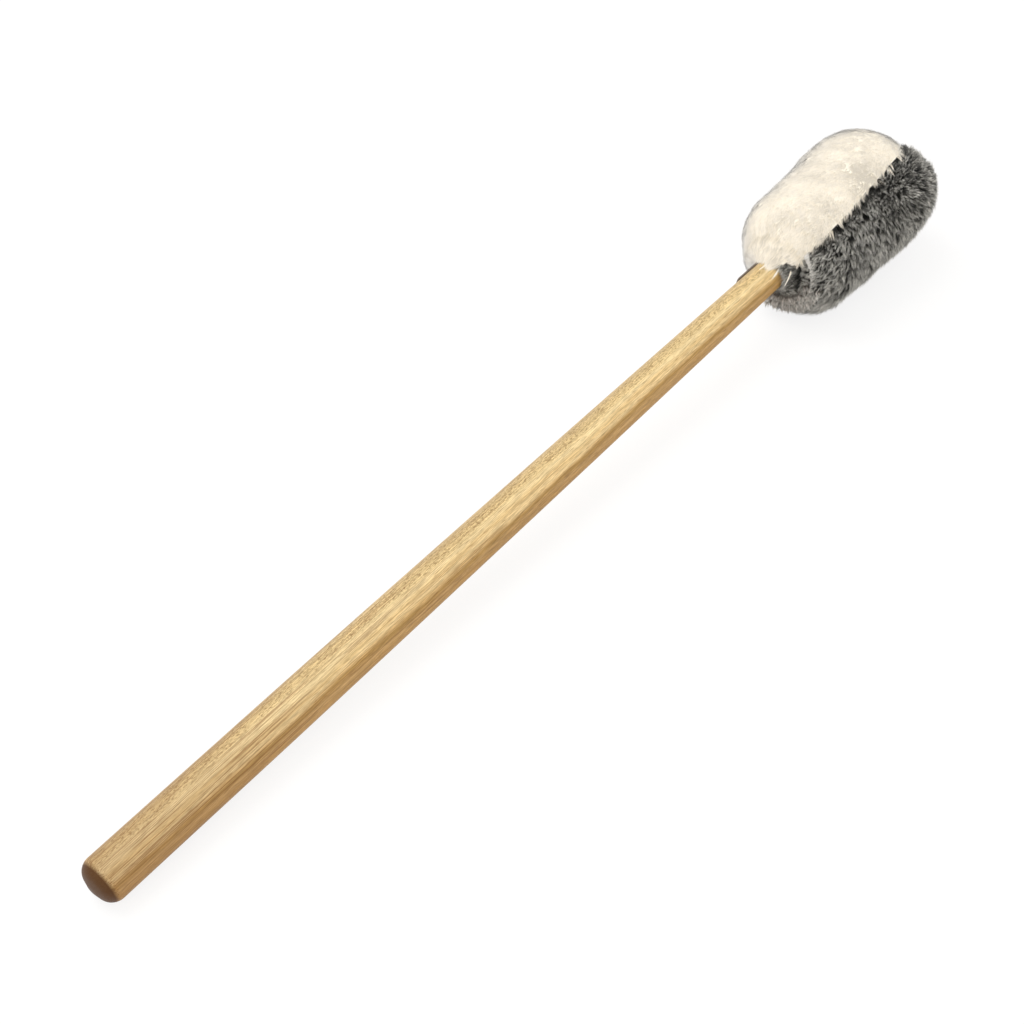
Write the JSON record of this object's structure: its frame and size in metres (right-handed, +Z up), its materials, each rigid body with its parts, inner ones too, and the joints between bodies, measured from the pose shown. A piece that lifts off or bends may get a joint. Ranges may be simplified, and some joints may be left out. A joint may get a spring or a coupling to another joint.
{
  "type": "gong mallet",
  "caption": "Gong mallet lying at rest: a tapered turned wooden handle with a rounded butt, and a long padded head in a fur cover, white plush on one side and longer grey plush on the other",
  "frame": {"origin": "on the table, under the middle of the mallet's bounding box, as it lies at rest", "axes": "+X runs from the butt of the handle to the head, +Z is up, and +Y is to the left of +X seen from above; the white half of the head faces up and towards +Y and the grey half faces down and towards -Y"},
  "size_m": [0.5518, 0.0694, 0.0696],
  "materials": {
    "oiled_hardwood": "satin",
    "turned_beech": "matte",
    "zinc_washer": "satin",
    "steel_screw": "satin",
    "pressed_felt": "matte",
    "open_cell_foam": "matte",
    "waxed_thread": "satin",
    "white_plush": "matte",
    "grey_plush": "matte",
    "dark_backing": "matte"
  },
  "bodies": {
    "root": {"handle": "oiled_hardwood", "core": "turned_beech", "core_washer": "zinc_washer", "core_screw": "steel_screw", "felt_wrap": "pressed_felt", "foam_sleeve": "open_cell_foam", "foam_tip_pad": "open_cell_foam", "foam_neck_ring": "open_cell_foam", "seam_thread_upper": "waxed_thread", "seam_thread_lower": "waxed_thread", "white_fur_panel": "white_plush", "grey_fur_panel": "grey_plush", "neck_gather_thread": "waxed_thread", "tip_gather_thread": "waxed_thread", "backing_tab": "dark_backing"}
  },
  "joints": []
}
